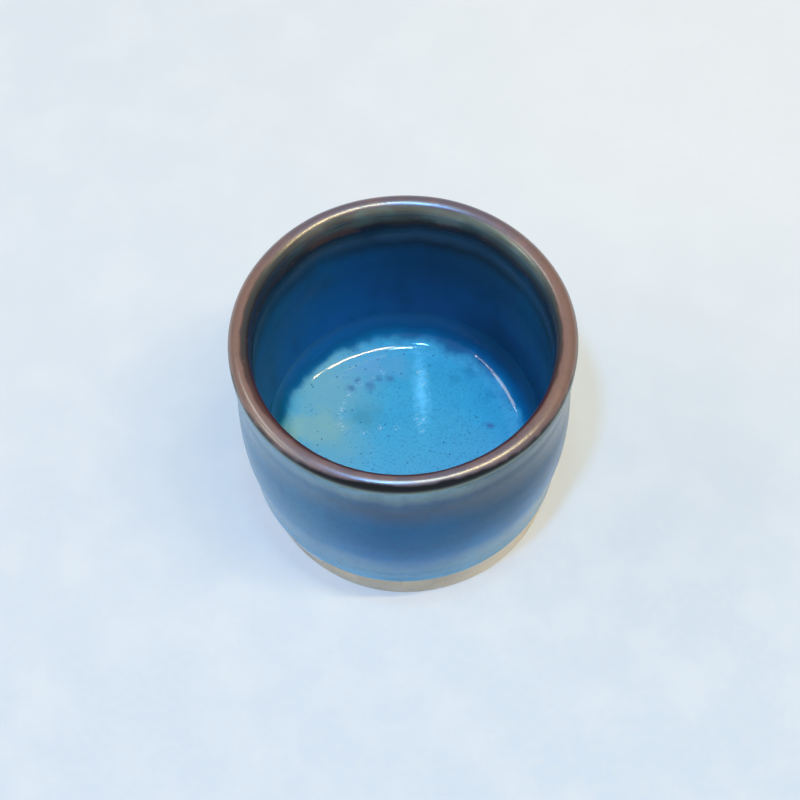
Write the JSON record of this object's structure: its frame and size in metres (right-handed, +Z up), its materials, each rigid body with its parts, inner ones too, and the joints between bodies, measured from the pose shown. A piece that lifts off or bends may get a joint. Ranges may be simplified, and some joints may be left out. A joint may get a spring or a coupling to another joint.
{
  "type": "sake cup",
  "caption": "Small round straight-sided stoneware sake cup with a rolled rust brown lip, blue glaze inside and out, a pooled light blue floor and a bare clay foot ring.",
  "frame": {"origin": "centre of the foot ring on the table, on the cup's axis", "axes": "+Z up along the cup's axis, from the foot to the lip"},
  "size_m": [0.066, 0.066, 0.051],
  "materials": {
    "stoneware_clay": "bare fired stoneware, matt, turned on the wheel",
    "outer_glaze": "glossy blue grey glaze with a thick rolled lower edge",
    "lip_glaze": "glossy rust brown iron glaze, run thin over the lip",
    "wall_glaze": "glossy deep blue glaze over faint throwing rings",
    "floor_glaze": "thick glassy light blue glaze, pooled, with small pits"
  },
  "bodies": {
    "root": {"clay_body": "stoneware_clay", "outer_glaze": "outer_glaze", "lip_glaze": "lip_glaze", "wall_glaze": "wall_glaze", "floor_glaze": "floor_glaze"}
  },
  "joints": []
}
